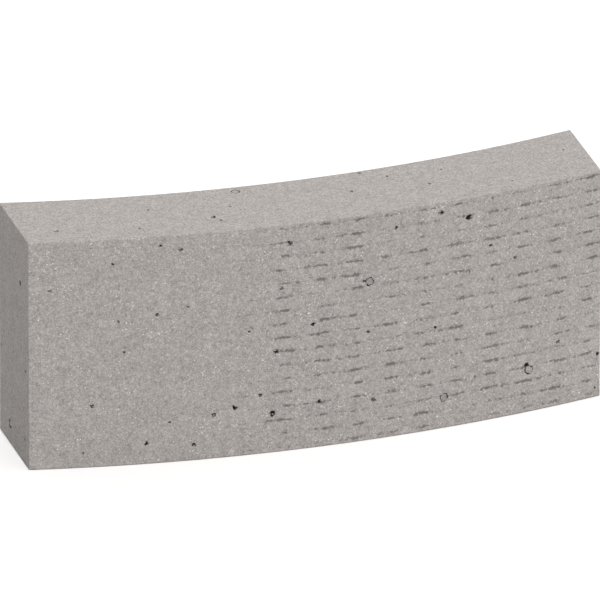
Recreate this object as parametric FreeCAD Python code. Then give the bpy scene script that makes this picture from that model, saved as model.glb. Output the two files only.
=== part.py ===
import FreeCAD, Part
import math
import os
import random

# One sintered diamond segment for a concrete core bit: a curved block of metal bond
# that holds diamond crystals. Millimetres. X runs along the chord, the convex outer
# face looks towards -Y and Z is up, from the joint face to the cutting face.
# The origin is at the bottom centre of the block's box.

Vector = FreeCAD.Vector
UP = Vector(0, 0, 1)

# The block
chord_length = 24.0  # between the two flat, parallel ends
wall_thickness = 4.0  # from the outer face to the inner face, along a radius
height = 10.0
outer_radius = 56.0  # half the diameter of the hole that the bit cuts
edge_rounding = 0.03

# Buried crystals, in level layers of columns along the arc and of curved sheets
layer_count = 16
buried_reach = 0.25  # from a crystal's centre to its tips
column_pitch = 1.48  # along the arc, from the right-hand end
sheet_pitch = 0.99  # along a radius, from the outer face

# Crystals ground flush with a face, and the pits that lost crystals leave
flush_reach = 0.28
flush_trim = 0.19  # from a flush crystal's centre to the flats that cut off its tips
pit_width_range = (0.12, 0.25)  # of the scattered pits, across the mouth
mouth_per_reach = 1.4  # how wide an octahedron is across its middle, as a share of its reach
buried_gap = 0.04  # the least bond between a flush crystal and a buried one
mark_gap = 0.15  # the least bond between two scattered marks, or a mark and an edge

# Where the marks lie, in hundredths of the face's width and height, and how wide
# each pit is in millimetres.
# Outer face: along the arc from the left end, up from the joint face
outer_pits = [
    (1.0, 33.5, 0.12), (3.5, 78.5, 0.14), (9.0, 6.5, 0.13), (10.5, 27.0, 0.18),
    (14.0, 89.0, 0.16), (15.0, 63.5, 0.14), (16.0, 50.0, 0.15), (19.5, 9.0, 0.19),
    (21.5, 65.5, 0.15), (22.0, 96.0, 0.14), (23.5, 17.5, 0.12), (25.5, 93.5, 0.18),
    (26.5, 68.0, 0.15), (27.5, 7.0, 0.19), (31.0, 19.0, 0.20), (34.5, 21.5, 0.22),
    (37.0, 54.5, 0.13), (39.0, 26.0, 0.18), (41.0, 17.0, 0.27), (41.5, 44.5, 0.24),
    (42.5, 72.0, 0.19), (44.0, 91.5, 0.25), (48.0, 54.5, 0.18), (49.0, 20.0, 0.18),
    (56.8, 70.5, 0.13), (57.5, 48.0, 0.17), (58.5, 17.5, 0.22), (62.5, 92.0, 0.16),
    (69.5, 45.0, 0.15), (70.5, 95.5, 0.20), (75.5, 67.0, 0.15), (75.5, 91.0, 0.27),
    (79.5, 77.0, 0.17), (84.0, 69.5, 0.17), (86.1, 21.0, 0.20), (92.0, 28.0, 0.17),
    (99.0, 4.0, 0.13), (99.5, 19.0, 0.16),
]
outer_crystals = [(57.8, 70.0), (71.0, 13.5), (86.5, 18.5)]

# Cutting face: along the chord from the left end, outwards from the inner face
cutting_pits = [
    (6.0, 72.5, 0.22), (19.5, 77.0, 0.14), (23.0, 35.5, 0.17), (32.5, 65.0, 0.24),
    (33.5, 73.5, 0.15), (36.5, 44.0, 0.12), (57.5, 43.0, 0.21), (61.0, 4.5, 0.20),
    (65.0, 21.0, 0.17), (71.0, 53.5, 0.15), (74.5, 27.0, 0.13), (84.5, 81.0, 0.13),
    (96.5, 39.0, 0.13),
]
cutting_crystals = [(39.0, 10.5)]

# Left end: outwards from the inner face, up from the joint face
left_pits = [
    (5.0, 38.0, 0.18), (46.0, 42.5, 0.15), (56.0, 87.5, 0.15), (72.0, 77.5, 0.23),
    (85.5, 11.0, 0.15), (89.5, 41.5, 0.22),
]
left_crystals = [(35.0, 8.5)]

# How many marks the other faces get; the joint face is ground clean and gets none
inner_pit_count = 30
inner_crystal_count = 4
right_pit_count = 6
right_crystal_count = 1

half_chord = chord_length / 2
inner_radius = outer_radius - wall_thickness
outer_half_angle = math.asin(half_chord / outer_radius)
inner_half_angle = math.asin(half_chord / inner_radius)
inner_corner = math.sqrt(inner_radius**2 - half_chord**2)
axis_y = (outer_radius + inner_corner) / 2  # the bit's axis, parallel to Z
flush_radius = math.hypot(flush_trim, flush_reach - flush_trim)
buried_inset = flush_radius + buried_gap + buried_reach  # from any face to buried centres

random.seed(112)


def polar(radius, angle, z):
    """The point at this radius, angle and level about the bit's axis. Angle 0 is the middle."""
    return Vector(radius * math.sin(angle), axis_y - radius * math.cos(angle), z)


def octahedron(reach):
    """A plain diamond crystal about the origin, reach from its centre to its tips."""
    faces = []
    for x in (reach, -reach):
        for y in (reach, -reach):
            for z in (reach, -reach):
                corners = [Vector(x, 0, 0), Vector(0, y, 0), Vector(0, 0, z)]
                faces.append(Part.Face(Part.makePolygon(corners + corners[:1])))
    return Part.Solid(Part.Shell(faces))


def trimmed_octahedron(reach, trim):
    """A crystal whose six tips are cut off by the faces of a cube."""
    cube = Part.makeBox(2 * trim, 2 * trim, 2 * trim, Vector(-trim, -trim, -trim))
    return octahedron(reach).common(cube)


def tumbled(shape, centre):
    """A copy of the shape, turned at random and moved to centre."""
    turned = shape.copy()
    axis = Vector(random.gauss(0, 1), random.gauss(0, 1), random.gauss(0, 1))
    turned.rotate(Vector(), axis, random.uniform(0, 360))
    turned.translate(centre)
    return turned


def make_block():
    """The block with its edges rounded, before anything is let into it."""
    centre = Vector(0, axis_y, 0)
    ring = Part.makeCylinder(outer_radius, height, centre, UP)
    ring = ring.cut(Part.makeCylinder(inner_radius, height, centre, UP))
    slab = Part.makeBox(chord_length, axis_y, height, Vector(-half_chord, axis_y - outer_radius, 0))
    block = ring.common(slab)
    return block.makeFillet(edge_rounding, block.Edges)


def evenly(first, last, pitch):
    """Places from first towards last, pitch apart."""
    count = int((last - first) / pitch + 1e-6) + 1
    return [first + pitch * i for i in range(count)]


def make_layer(z, offset):
    """The crystals of a level layer, its sheets this share of a pitch further in."""
    crystal = octahedron(buried_reach)
    crystals = []
    first_angle = math.asin((half_chord - buried_inset) / (outer_radius - buried_inset))
    first_sheet = buried_inset + offset * sheet_pitch
    for number, depth in enumerate(evenly(first_sheet, wall_thickness - buried_inset, sheet_pitch)):
        shift = column_pitch / 2 * (number % 2)  # every second sheet is half a column over
        for arc in evenly(shift, 2 * first_angle * outer_radius, column_pitch):
            angle = first_angle - arc / outer_radius
            crystals.append(tumbled(crystal, polar(outer_radius - depth, angle, z)))
    return crystals


def scatter(count, width, tall):
    """Random places on a face of this size, none near an edge or near another."""
    margin = flush_radius + mark_gap
    spacing = 2 * flush_radius + mark_gap
    places = []
    while len(places) < count:
        place = (random.uniform(margin, width - margin), random.uniform(margin, tall - margin))
        if all(math.dist(place, other) > spacing for other in places):
            places.append(place)
    return [(100 * across / width, 100 * up / tall) for across, up in places]


# Each face turns a place on it, in hundredths of the face, into a point
def on_outer(along, up):
    return polar(outer_radius, (along / 50 - 1) * outer_half_angle, up / 100 * height)


def on_inner(along, up):
    return polar(inner_radius, (along / 50 - 1) * inner_half_angle, up / 100 * height)


def on_cutting(along, out):
    x = (along / 50 - 1) * half_chord
    radius = inner_radius + out / 100 * wall_thickness
    return Vector(x, axis_y - math.sqrt(radius**2 - x**2), height)


def on_left(out, up):
    radius = inner_radius + out / 100 * wall_thickness
    y = axis_y - math.sqrt(radius**2 - half_chord**2)
    return Vector(-half_chord, y, up / 100 * height)


def on_right(out, up):
    point = on_left(out, up)
    return Vector(half_chord, point.y, point.z)


def make_pits(place_on, pits):
    """The pockets that lost crystals leave, each centred on the face."""
    pockets = []
    for across, up, width in pits:
        pocket = octahedron(width / mouth_per_reach)
        pockets.append(tumbled(pocket, place_on(across, up)))
    return pockets


def make_flush(place_on, places):
    """Whole crystals centred on the face, before the face is ground."""
    crystal = trimmed_octahedron(flush_reach, flush_trim)
    return [tumbled(crystal, place_on(*place)) for place in places]


def save(name, solids):
    Part.Compound(solids).exportStep("parts/" + name + ".step")
    print(name, len(solids), "solids", round(sum(s.Volume for s in solids), 4), "mm3")


os.makedirs("parts", exist_ok=True)
block = make_block()

layer_pitch = (height - 2 * buried_inset) / (layer_count - 1)
layers = {}
for number in range(layer_count):
    level = buried_inset + layer_pitch * number
    layers["crystal_layer_%02d" % (number + 1)] = make_layer(level, number % 2 / 2)

inner_arc = 2 * inner_half_angle * inner_radius
inner_places = scatter(inner_pit_count + inner_crystal_count, inner_arc, height)
inner_pits = [(*place, random.uniform(*pit_width_range)) for place in inner_places[:inner_pit_count]]
inner_crystals = inner_places[inner_pit_count:]
right_places = scatter(right_pit_count + right_crystal_count, wall_thickness, height)
right_pits = [(*place, random.uniform(*pit_width_range)) for place in right_places[:right_pit_count]]
right_crystals = right_places[right_pit_count:]

pits = make_pits(on_outer, outer_pits)
pits += make_pits(on_cutting, cutting_pits)
pits += make_pits(on_left, left_pits)
pits += make_pits(on_inner, inner_pits)
pits += make_pits(on_right, right_pits)

flush = {
    "outer_face_crystals": make_flush(on_outer, outer_crystals),
    "cutting_face_crystals": make_flush(on_cutting, cutting_crystals),
    "left_end_crystals": make_flush(on_left, left_crystals),
    "inner_face_crystals": make_flush(on_inner, inner_crystals),
    "right_end_crystals": make_flush(on_right, right_crystals),
}

sockets = pits + sum(layers.values(), []) + sum(flush.values(), [])
save("bond_matrix", block.cut(sockets).Solids)

for name, crystals in layers.items():
    save(name, crystals)
for name, crystals in flush.items():
    save(name, [crystal.common(block).Solids[0] for crystal in crystals])
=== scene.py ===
import math
import random

import bmesh
import bpy
import numpy as np
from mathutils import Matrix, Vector, noise
from mathutils.bvhtree import BVHTree
from mathutils.kdtree import KDTree


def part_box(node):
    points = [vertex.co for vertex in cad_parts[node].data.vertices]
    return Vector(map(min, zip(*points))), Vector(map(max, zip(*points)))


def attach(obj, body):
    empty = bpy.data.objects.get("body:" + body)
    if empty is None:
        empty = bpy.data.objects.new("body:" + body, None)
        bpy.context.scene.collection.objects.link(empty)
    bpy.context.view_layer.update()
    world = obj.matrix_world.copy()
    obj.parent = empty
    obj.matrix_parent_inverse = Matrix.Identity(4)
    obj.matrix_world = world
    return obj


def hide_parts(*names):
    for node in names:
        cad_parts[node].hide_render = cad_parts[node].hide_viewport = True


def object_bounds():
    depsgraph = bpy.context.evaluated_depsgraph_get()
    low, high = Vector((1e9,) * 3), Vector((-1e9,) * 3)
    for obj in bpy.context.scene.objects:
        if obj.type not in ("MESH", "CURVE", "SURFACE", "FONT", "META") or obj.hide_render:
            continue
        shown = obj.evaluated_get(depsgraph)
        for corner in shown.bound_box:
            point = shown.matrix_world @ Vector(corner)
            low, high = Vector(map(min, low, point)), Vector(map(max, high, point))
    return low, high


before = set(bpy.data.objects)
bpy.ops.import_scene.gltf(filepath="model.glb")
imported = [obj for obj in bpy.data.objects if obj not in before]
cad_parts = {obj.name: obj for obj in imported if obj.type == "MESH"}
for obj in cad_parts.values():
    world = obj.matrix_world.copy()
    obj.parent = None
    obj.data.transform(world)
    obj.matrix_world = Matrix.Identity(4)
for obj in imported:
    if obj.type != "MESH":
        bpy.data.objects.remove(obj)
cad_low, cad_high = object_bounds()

# The looks of a diamond core bit segment: a curved block of sintered bond with pits,
# marks between its layers and crystals ground flush. Metres, in the CAD frame.
#
# The block is shaped in block coordinates (x, depth, z): x along the chord, depth from
# the outer face along a radius, z up. In them it is a plain box.

MM = 0.001

# Sizes that the design shares
outer_radius = 56 * MM
wall = 4 * MM
edge_rounding = 0.03 * MM
half_chord = cad_high.x
height = cad_high.z
inner_radius = outer_radius - wall
axis_y = (outer_radius + math.sqrt(inner_radius**2 - half_chord**2)) / 2

random.seed(7)
noise.seed_set(7)  # noise_vector would otherwise start from the clock


def to_space(block):
    """Points in block coordinates, as rows, to points in the CAD frame."""
    x, depth, z = block.T
    return np.stack([x, axis_y - np.sqrt((outer_radius - depth) ** 2 - x**2), z], axis=1)


def to_block(points):
    """Points in the CAD frame, as rows, to block coordinates."""
    x, y, z = points.T
    return np.stack([x, outer_radius - np.hypot(x, axis_y - y), z], axis=1)


def mesh_points(mesh):
    points = np.empty(len(mesh.vertices) * 3)
    mesh.vertices.foreach_get("co", points)
    return points.reshape(-1, 3)


# ---------------------------------------------------------------- materials

class Nodes:
    """A node tree and the few ways this script adds to it."""

    def __init__(self, tree):
        self.tree = tree

    def add(self, kind, **settings):
        node = self.tree.nodes.new(kind)
        for name, value in settings.items():
            setattr(node, name, value)
        return node

    def put(self, socket, value):
        """Links a socket to an output, or sets it to a plain value."""
        if isinstance(value, bpy.types.NodeSocket):
            self.tree.links.new(value, socket)
        else:
            socket.default_value = value

    def math(self, operation, a, b=0.0, clamp=False):
        node = self.add("ShaderNodeMath", operation=operation, use_clamp=clamp)
        self.put(node.inputs[0], a)
        self.put(node.inputs[1], b)
        return node.outputs[0]

    def ramp(self, value, start, end, low=0.0, high=1.0):
        """low at start and before, high at end and after, smooth between."""
        node = self.add("ShaderNodeMapRange", interpolation_type="SMOOTHSTEP")
        for name, number in (("From Min", start), ("From Max", end), ("To Min", low), ("To Max", high)):
            node.inputs[name].default_value = number
        self.put(node.inputs["Value"], value)
        return node.outputs["Result"]

    def mix(self, factor, a, b, blend="MIX"):
        node = self.add("ShaderNodeMix", data_type="RGBA", blend_type=blend)
        self.put(node.inputs["Factor"], factor)
        self.put(node.inputs[6], a)
        self.put(node.inputs[7], b)
        return node.outputs[2]

    def noise(self, place, scale, detail=2.0, roughness=0.5):
        node = self.add("ShaderNodeTexNoise")
        self.put(node.inputs["Vector"], place)
        node.inputs["Scale"].default_value = scale
        node.inputs["Detail"].default_value = detail
        node.inputs["Roughness"].default_value = roughness
        return node.outputs["Fac"]

    def grain(self, place, bands):
        """Noise about 0, a sum of bands, each a scale per millimetre and an amplitude."""
        total = 0.0
        for scale, amplitude in bands:
            off = self.math("SUBTRACT", self.noise(place, scale, detail=1.0), 0.5)
            total = self.math("ADD", self.math("MULTIPLY", off, amplitude), total)
        return total

    def spots(self, place, scale, share, size):
        """Up to 1 in small spots, in this share of the cells, half to 1.5 times size in radius."""
        turned = self.add("ShaderNodeMapping")  # so that no face runs along a layer of cells
        turned.inputs["Rotation"].default_value = (0.5, 0.7, 0.3)
        self.put(turned.inputs["Vector"], place)
        cells = self.add("ShaderNodeTexVoronoi", feature="F1")
        self.put(cells.inputs["Vector"], turned.outputs["Vector"])
        cells.inputs["Scale"].default_value = scale
        pick = self.add("ShaderNodeSeparateColor")
        self.put(pick.inputs["Color"], cells.outputs["Color"])
        chosen = self.math("GREATER_THAN", pick.outputs["Red"], 1 - share)
        reach = self.math("MULTIPLY_ADD", pick.outputs["Green"], size)
        reach.node.inputs[2].default_value = size / 2
        near = self.math("SUBTRACT", reach, cells.outputs["Distance"])
        inside = self.math("MULTIPLY", self.ramp(near, 0.0, size / 2), pick.outputs["Blue"])
        return self.math("MULTIPLY", chosen, inside)

    def attribute(self, name):
        return self.add("ShaderNodeAttribute", attribute_name=name).outputs["Fac"]


def new_material(name):
    material = bpy.data.materials.new(name)
    material.use_nodes = True
    nodes = Nodes(material.node_tree)
    shader = material.node_tree.nodes["Principled BSDF"]
    place = nodes.add("ShaderNodeTexCoord").outputs["Object"]
    scale = nodes.add("ShaderNodeVectorMath", operation="SCALE")
    nodes.put(scale.inputs[0], place)
    scale.inputs["Scale"].default_value = 1 / MM
    return material, nodes, shader, scale.outputs[0]


def grey(value):
    """A warm grey of this brightness, the hue of the whole segment."""
    return (value * 1.055, value * 0.995, value * 0.95, 1.0)


def sintered_bond():
    """Dull sintered metal: fine grain, dark pores, painted glints, painted shade in the seams and pits.

    The mesh says where: "wall" is 1 on the curved faces, "seam" is the strength of a groove between
    layers and of the painted shade along it, and "hollow" is 1 inside pits and sockets, where shade is
    painted.
    """
    material, nodes, shader, place = new_material("Sintered_bond")
    finest = 24.0  # grains per millimetre
    fine = nodes.noise(place, finest, detail=1.0)
    wall_share = nodes.attribute("wall")
    grain = nodes.grain(place, ((finest, 1.28), (11.0, 0.86), (4.5, 0.46), (1.6, 0.24)))
    grain = nodes.math("MULTIPLY", grain, nodes.ramp(wall_share, 0.3, 0.9, 1.0, 0.84))
    colour = nodes.mix(1.0, grey(0.31), nodes.math("ADD", grain, 1.0), "MULTIPLY")

    pores = nodes.spots(place, 9.0, 0.25, 0.22)
    colour = nodes.mix(nodes.math("MULTIPLY", pores, 0.5), colour, grey(0.12))
    # Painted glints: light spots in the colour stand in for highlights on the grains, mostly on the
    # curved faces
    fields = nodes.ramp(nodes.noise(place, 1.1, detail=2.0), 0.4, 0.62, 0.35, 1.0)
    glints = nodes.spots(place, 13.0, 0.5, 0.32)  # crowded in some fields, rare in others
    glints = nodes.math("MULTIPLY", glints, nodes.math("MULTIPLY", wall_share, fields))
    colour = nodes.mix(nodes.math("MULTIPLY", glints, 0.7), colour, grey(0.85))

    # The marks are painted shade of the shallow seam grooves, clotted: they show where the uneven bond
    # lets them
    clots = nodes.math("SUBTRACT", nodes.noise(place, 8.0, detail=2.0), 0.5)
    seam = nodes.attribute("seam")
    shown = nodes.math("MULTIPLY_ADD", clots, 2.2)
    nodes.put(shown.node.inputs[2], seam)
    seam = nodes.math("MULTIPLY", nodes.ramp(shown, 0.15, 0.85), nodes.ramp(seam, 0.03, 0.25))
    # Painted shade: the seam grooves are darkened in the colour
    colour = nodes.mix(nodes.math("MULTIPLY", seam, 0.8), colour, grey(0.1))

    # Painted shade in the pits and sockets: the colour goes near black there, less in some places than
    # others by noise
    hollow = nodes.attribute("hollow")
    pit_shade = nodes.ramp(nodes.noise(place, 3.5, detail=1.0), 0.38, 0.58, 0.55, 0.95)
    colour = nodes.mix(nodes.math("MULTIPLY", hollow, pit_shade), colour, grey(0.015))
    nodes.put(shader.inputs["Base Color"], colour)

    roughness = nodes.ramp(fine, 0.3, 0.7, 0.55, 0.8)
    roughness = nodes.math("SUBTRACT", roughness, nodes.math("MULTIPLY", glints, 0.25))
    nodes.put(shader.inputs["Roughness"], roughness)
    shader.inputs["Specular IOR Level"].default_value = 0.05

    bump = nodes.add("ShaderNodeBump")
    bump.inputs["Strength"].default_value = 0.5
    bump.inputs["Distance"].default_value = 0.012 * MM
    nodes.put(bump.inputs["Height"], nodes.noise(place, 12.0, detail=3.0))
    nodes.put(shader.inputs["Normal"], bump.outputs["Normal"])
    return material


def diamond(name, tint, dark, rough, ior):
    """A crystal: faintly clouded, smoother than the bond."""
    material, nodes, shader, place = new_material(name)
    cloud = nodes.noise(place, 5.0, detail=3.0)
    apart = nodes.math("MULTIPLY", nodes.noise(place, 0.4, detail=0.0), 0.5)  # crystal by crystal
    colour = nodes.mix(nodes.ramp(nodes.math("ADD", cloud, apart), 0.55, 0.95), tint, dark)
    nodes.put(shader.inputs["Base Color"], colour)
    nodes.put(shader.inputs["Roughness"], nodes.ramp(cloud, 0.3, 0.7, rough, rough + 0.15))
    shader.inputs["IOR"].default_value = ior
    return material


def floor_material():
    material, nodes, shader, place = new_material("Floor")
    shade = nodes.noise(place, 0.05, detail=2.0)
    darker, lighter = (0.83, 0.83, 0.83, 1), (0.85, 0.85, 0.85, 1)
    nodes.put(shader.inputs["Base Color"], nodes.mix(shade, darker, lighter))
    shader.inputs["Roughness"].default_value = 0.9
    return material


# ---------------------------------------------------------------- where things are

def layer_levels():
    """The levels of the buried layers' centres, from the CAD nodes, lowest first."""
    levels = []
    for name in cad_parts:
        if name.startswith("crystal_layer_"):
            low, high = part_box(name)
            levels.append((low[2] + high[2]) / 2)
    return sorted(levels)


def seam_levels():
    """Halfway between the layers, and as far again beyond the first and the last."""
    levels = layer_levels()
    half = (levels[1] - levels[0]) / 2
    return [levels[0] - half] + [level + half for level in levels]


def column_places(least_depth, most_depth):
    """x of the columns of crystals that lie between two depths of the lowest layer."""
    block = to_block(mesh_points(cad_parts["crystal_layer_01"].data))
    x = np.sort(block[(block[:, 1] > least_depth) & (block[:, 1] < most_depth), 0])
    gap = 0.5 * MM  # wider than any between two corners of one column
    groups = np.split(x, np.nonzero(np.diff(x) > gap)[0] + 1)
    return [(group[0] + group[-1]) / 2 for group in groups]


def mark_points():
    """Corners of the pits and sockets in the CAD bond's faces, in block coordinates.

    They lie deeper than any corner of the face itself, and less deep than buried sockets.
    """
    least, most = 0.02 * MM, 0.235 * MM
    block = to_block(mesh_points(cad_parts["bond_matrix"].data))
    x, depth, z = block.T
    below = np.min([half_chord - np.abs(x), depth, wall - depth, z, height - z], axis=0)
    return block[(below > least) & (below < most)]


# ---------------------------------------------------------------- the bond

def edge_lines(length, step):
    """Grid places from 0 to length: close at both ends for the rounding, then by step."""
    half_turned = 0.586 * edge_rounding  # where the rounding has turned by half
    near = [0, half_turned, edge_rounding, 2 * edge_rounding]
    inner = length - 2 * near[-1]
    count = round(inner / step)
    middle = [near[-1] + inner * i / count for i in range(1, count)]
    return near + middle + [length - place for place in reversed(near)]


def seam_lines(levels):
    """Grid places up the block: finer beside each seam, where the marks lie."""
    offsets = np.array([-0.11, -0.07, -0.035, 0, 0.035, 0.07, 0.11, 0.19, 0.30, 0.41]) * MM
    places = edge_lines(height, 1)[:4] + edge_lines(height, 1)[-4:]
    for level in levels:
        places += [level + offset for offset in offsets]
    places = sorted(place for place in places if 0 <= place <= height)
    kept = [places[0]]
    for place in places[1:]:
        if place - kept[-1] > 0.02 * MM:
            kept.append(place)
    kept[-1] = height
    return kept


def box_surface(lines):
    """A bmesh of the box's surface, gridded at these places along x, depth and z."""
    sheet = bmesh.new()
    corners = {}

    def vertex(*index):
        if index not in corners:
            corners[index] = sheet.verts.new([lines[axis][index[axis]] for axis in range(3)])
        return corners[index]

    last = [len(places) - 1 for places in lines]
    for axis in range(3):
        u, v = (axis + 1) % 3, (axis + 2) % 3
        for side in (0, last[axis]):
            for i in range(last[u]):
                for j in range(last[v]):
                    quad = []
                    for a, b in ((0, 0), (1, 0), (1, 1), (0, 1)):
                        index = [0, 0, 0]
                        index[axis], index[u], index[v] = side, i + a, j + b
                        quad.append(vertex(*index))
                    # block coordinates are right-handed, because depth runs inwards as y does
                    sheet.faces.new(quad if side else quad[::-1])
    return sheet


def refine(sheet, points, reaches):
    """Splits the faces near these points, once for each reach, and returns the points' tree."""
    tree = KDTree(len(points))
    for number, point in enumerate(points):
        tree.insert(point, number)
    tree.balance()
    for reach in reaches:
        near = [f for f in sheet.faces if tree.find(f.calc_center_median())[2] < reach]
        edges = list({edge for face in near for edge in face.edges})
        bmesh.ops.subdivide_edges(sheet, edges=edges, cuts=1, use_grid_fill=True)
    return tree


def rounded(block):
    """Box surface points moved onto the rounded edges, and the outward normals there."""
    low = np.array([-half_chord, 0, 0]) + edge_rounding
    high = np.array([half_chord, wall, height]) - edge_rounding
    core = np.clip(block, low, high)
    out = block - core
    out /= np.linalg.norm(out, axis=1, keepdims=True)
    return core + edge_rounding * out, out


def crystal_tree():
    """The corners of the flush crystals, in block coordinates."""
    corners = []
    for name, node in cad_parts.items():
        if name.endswith("_crystals"):
            corners.extend(to_block(mesh_points(node.data)))
    tree = KDTree(len(corners))
    for number, corner in enumerate(corners):
        tree.insert(corner, number)
    tree.balance()
    return tree


def pit_depths(block, out, tree):
    """How far below the face the CAD bond lies, at the points near its marks.

    Uneven noise frays the mouths, and leaves rubble in the pits of lost crystals.
    """
    crystals = crystal_tree()
    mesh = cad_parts["bond_matrix"].data
    cad = BVHTree.FromPolygons([v.co for v in mesh.vertices], [p.vertices for p in mesh.polygons])
    mark_reach = 0.4 * MM
    ray_length = 0.6 * MM
    clearance = 0.05 * MM  # each ray starts this far outside the face
    facet_error = 0.012 * MM  # the CAD mesh's flat facets lie this far inside the arc
    starts = to_space(block + clearance * out)
    toward = to_space(block) - starts
    depths = np.zeros(len(block))
    for number, place in enumerate(block):
        if tree.find(place)[2] < mark_reach:
            inward = Vector(toward[number]).normalized()
            lost = crystals.find(place)[2] > 0.2 * MM  # a pit, with nothing left in it
            fraying = (0.05 if lost else 0.03) * MM
            ragged = noise.noise_vector(Vector(place / MM) * 7.0) * fraying
            ragged -= ragged.dot(inward) * inward
            distance = cad.ray_cast(Vector(starts[number]) + ragged, inward, ray_length)[3]
            if distance is not None:
                depths[number] = max(0.0, distance - clearance - facet_error)
                if lost:
                    rubble = noise.noise(Vector(place / MM) * 11.0 + Vector((5, 3, 9)))
                    still_open = 0.85 - 2.8 * rubble
                    depths[number] *= min(1.0, max(0.03, still_open))
    return depths


def seam_marks(block, columns, levels):
    """How strongly each point is sunk and darkened with painted shade by the marks along the seams, 0
    to 1.
    """
    x, _, z = block.T
    marks = np.zeros(len(block))

    def streak(at_x, at_z, half, strength):
        """A mark that reaches half to each side of its middle, and about 0.07 mm up and down."""
        tall = random.uniform(0.055, 0.085) * MM
        lean = random.gauss(0, 0.04)
        near = (np.abs(x - at_x) < 2 * half) & (np.abs(z - at_z) < 3 * tall)
        rise = z[near] - at_z - lean * (x[near] - at_x)
        fade = np.exp(-(((x[near] - at_x) / half) ** 4) - (rise / tall) ** 2)
        marks[near] = np.maximum(marks[near], strength * fade)

    fade_start, fade_end = -4.2 * MM, -1.6 * MM  # faint left of the first, full right of the second
    faintest = 0.13
    for level in levels:
        for column in columns:  # one main streak at each, and a weaker one beside it
            fade = min(1.0, max(faintest, (column - fade_start) / (fade_end - fade_start)))
            strength = fade * random.uniform(0.4, 1.0)
            at_x = column + random.gauss(0, 0.10) * MM
            at_z = level + random.gauss(0, 0.015) * MM
            half = random.uniform(0.2, 0.42) * MM
            streak(at_x, at_z, half, strength)
            side = random.choice((-1, 1))
            far = at_x + side * (half + random.uniform(0.1, 0.3) * MM)
            streak(far, at_z, random.uniform(0.12, 0.28) * MM, strength * random.uniform(0.4, 0.8))
        right = np.clip((x - fade_start) / (fade_end - fade_start), 0, 1)
        line = 0.22 * right * np.exp(-(((z - level) / (0.06 * MM)) ** 2))
        marks[:] = np.maximum(marks, line)
    return marks


def unevenness(block):
    """The uneven face left by pressing and grinding, in metres, about zero."""
    swell = 0.0035 * MM
    heights = np.empty(len(block))
    for number, place in enumerate(block / MM):
        point = Vector(place)
        heights[number] = noise.noise(point * 4.0) + 0.6 * noise.noise(point * 9.0)
    return heights * swell


def make_bond():
    """The bond's surface: a gridded box, bent along the arc, with its pits and marks."""
    grid = 0.14 * MM
    refined_reaches = [0.34 * MM, 0.26 * MM, 0.2 * MM]
    seam_depth = 0.022 * MM
    fully_shaded_depth = 0.016 * MM  # a pit this deep or deeper gets the full painted shade

    levels = seam_levels()
    across = [place - half_chord for place in edge_lines(2 * half_chord, grid)]
    through = edge_lines(wall, grid)
    sheet = box_surface([across, through, seam_lines(levels)])
    tree = refine(sheet, mark_points(), refined_reaches)

    mesh = bpy.data.meshes.new("Bond")
    sheet.to_mesh(mesh)
    sheet.free()
    block, out = rounded(mesh_points(mesh))
    pits = pit_depths(block, out, tree)
    on_outer = out[:, 1] < -0.99
    on_inner = out[:, 1] > 0.99
    marks = np.zeros(len(block))
    marks[on_outer] = seam_marks(block[on_outer], column_places(0, wall / 4), levels)
    marks[on_inner] = seam_marks(block[on_inner], column_places(wall * 3 / 4, wall), levels)

    sink = pits + seam_depth * marks + unevenness(block)
    points = to_space(block - sink[:, None] * out)
    mesh.vertices.foreach_set("co", points.ravel())
    mesh.update()

    for name, values in (
        # seam: the depth of the seam grooves, and the painted shade along them
        ("seam", marks),
        # hollow: where shade is painted in the pits and sockets
        ("hollow", np.clip(pits / fully_shaded_depth, 0, 1)),
        ("wall", np.where(on_outer | on_inner, 1.0, 0.25)),
    ):
        layer = mesh.attributes.new(name, "FLOAT", "POINT")
        layer.data.foreach_set("value", values.astype(np.float32))
    mesh.shade_smooth()
    bond = bpy.data.objects.new("Bond", mesh)
    bpy.context.collection.objects.link(bond)
    mesh.materials.append(sintered_bond())
    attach(bond, "root")
    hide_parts("bond_matrix")
    print("bond", len(mesh.vertices), "vertices", len(mesh.polygons), "faces")


# ---------------------------------------------------------------- the flush crystals

def make_flush(node, material, least, most):
    """The node's crystals with worn edges, their corners drawn in to between least and most."""
    same_corner = 0.0005 * MM
    slip_reach = 0.01 * MM
    worn = 0.008 * MM
    crystals = bmesh.new()
    crystals.from_mesh(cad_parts[node].data)
    bmesh.ops.remove_doubles(crystals, verts=crystals.verts, dist=same_corner)
    seen = set()
    for first in crystals.verts:
        if first in seen:
            continue
        seen.add(first)
        island = [first]
        for vertex in island:
            for edge in vertex.link_edges:
                other = edge.other_vert(vertex)
                if other not in seen:
                    seen.add(other)
                    island.append(other)
        centre = sum((v.co for v in island), Vector()) / len(island)
        slip = Vector([random.uniform(-1, 1) * slip_reach for _ in range(3)])
        for vertex in island:
            vertex.co = centre + slip + (vertex.co - centre) * random.uniform(least, most)
    bmesh.ops.dissolve_limit(crystals, angle_limit=0.05, verts=crystals.verts, edges=crystals.edges)
    bmesh.ops.bevel(
        crystals,
        geom=crystals.edges[:],
        offset=worn,
        segments=2,
        affect="EDGES",
        profile=0.6,
        clamp_overlap=True,
    )
    mesh = bpy.data.meshes.new(node)
    crystals.to_mesh(mesh)
    crystals.free()
    mesh.materials.append(material)
    piece = bpy.data.objects.new(node.capitalize(), mesh)
    bpy.context.collection.objects.link(piece)
    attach(piece, "root")
    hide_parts(node)


# ---------------------------------------------------------------- the studio

def make_floor():
    floor_width = 1.2
    top = cad_low.z - 0.01 * MM  # just below the part, so that the two don't coincide
    bpy.ops.mesh.primitive_plane_add(size=floor_width, location=(0, 0, top))
    floor = bpy.context.object
    floor.name = "Floor"
    floor.data.materials.append(floor_material())


def direction(azimuth, elevation):
    """Towards a place this far right of the outer face's middle and this far up, in degrees."""
    a, e = math.radians(azimuth), math.radians(elevation)
    return Vector((math.sin(a) * math.cos(e), -math.cos(a) * math.cos(e), math.sin(e)))


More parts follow.
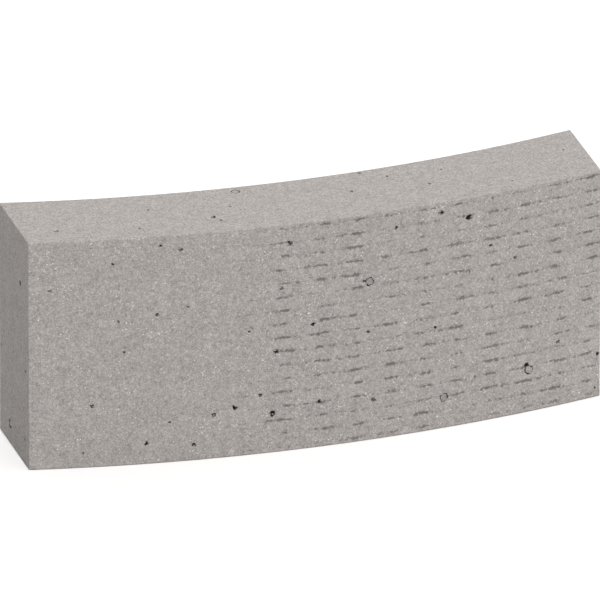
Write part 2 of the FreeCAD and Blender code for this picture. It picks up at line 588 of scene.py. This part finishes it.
def make_lights():
    """A soft key light from above the outer face, and a sky that is brighter right and behind.

    Below the horizon, past the end of the floor, the sky is as pale as the floor.
    """
    key = bpy.data.lights.new("Key", "SUN")
    key.energy = 2.61
    key.angle = math.radians(6)
    lamp = bpy.data.objects.new("Key", key)
    lamp.rotation_mode = "QUATERNION"
    lamp.rotation_quaternion = direction(-4, 63).to_track_quat("Z", "Y")
    bpy.context.collection.objects.link(lamp)

    world = bpy.data.worlds.new("Studio")
    world.use_nodes = True
    nodes = Nodes(world.node_tree)
    background = world.node_tree.nodes["Background"]
    background.inputs["Color"].default_value = (1.0, 0.985, 0.965, 1)
    toward = nodes.add("ShaderNodeTexCoord").outputs["Generated"]
    overhead = 0.66
    right_and_behind = (0.54, 0.27, 0)
    slope = nodes.add("ShaderNodeVectorMath", operation="DOT_PRODUCT")
    nodes.put(slope.inputs[0], toward)
    slope.inputs[1].default_value = right_and_behind
    sky = nodes.math("ADD", slope.outputs["Value"], overhead)
    axes = nodes.add("ShaderNodeSeparateXYZ")
    nodes.put(axes.inputs["Vector"], toward)
    above = nodes.ramp(axes.outputs["Z"], -0.03, 0.0)
    sky = nodes.math("MULTIPLY", nodes.math("SUBTRACT", sky, 1.0), above)
    nodes.put(background.inputs["Strength"], nodes.math("ADD", sky, 1.0))
    bpy.context.scene.world = world


def make_camera():
    """A very long lens, so that the view is all but parallel."""
    view_width = 24.108 * MM
    lens = bpy.data.cameras.new("Camera")
    lens.lens = 1600
    distance = view_width * lens.lens / lens.sensor_width
    aim = (cad_low + cad_high) / 2 + Vector((-0.02, 0.64, -0.02)) * MM
    back = direction(-17.06, 24.94)
    camera = bpy.data.objects.new("Camera", lens)
    camera.location = aim + back * distance
    camera.rotation_mode = "QUATERNION"
    camera.rotation_quaternion = (-back).to_track_quat("-Z", "Y")
    lens.clip_start = distance / 10
    lens.clip_end = distance * 3
    bpy.context.collection.objects.link(camera)
    bpy.context.scene.camera = camera


bpy.context.scene.view_settings.view_transform = "Standard"
make_bond()
flush_diamond = diamond("Flush_diamond", grey(0.29), grey(0.2), 0.5, 1.5)
for name in ("outer_face", "inner_face", "cutting_face"):
    make_flush(name + "_crystals", flush_diamond, 0.64, 0.9)
for name in ("left_end", "right_end"):
    make_flush(name + "_crystals", flush_diamond, 0.5, 0.75)

buried_diamond = diamond("Buried_diamond", (0.52, 0.50, 0.26, 1), (0.38, 0.37, 0.2, 1), 0.12, 2.4)
for name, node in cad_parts.items():
    if name.startswith("crystal_layer_"):
        for material_slot in node.material_slots:
            material_slot.material = buried_diamond

make_floor()
make_lights()
make_camera()
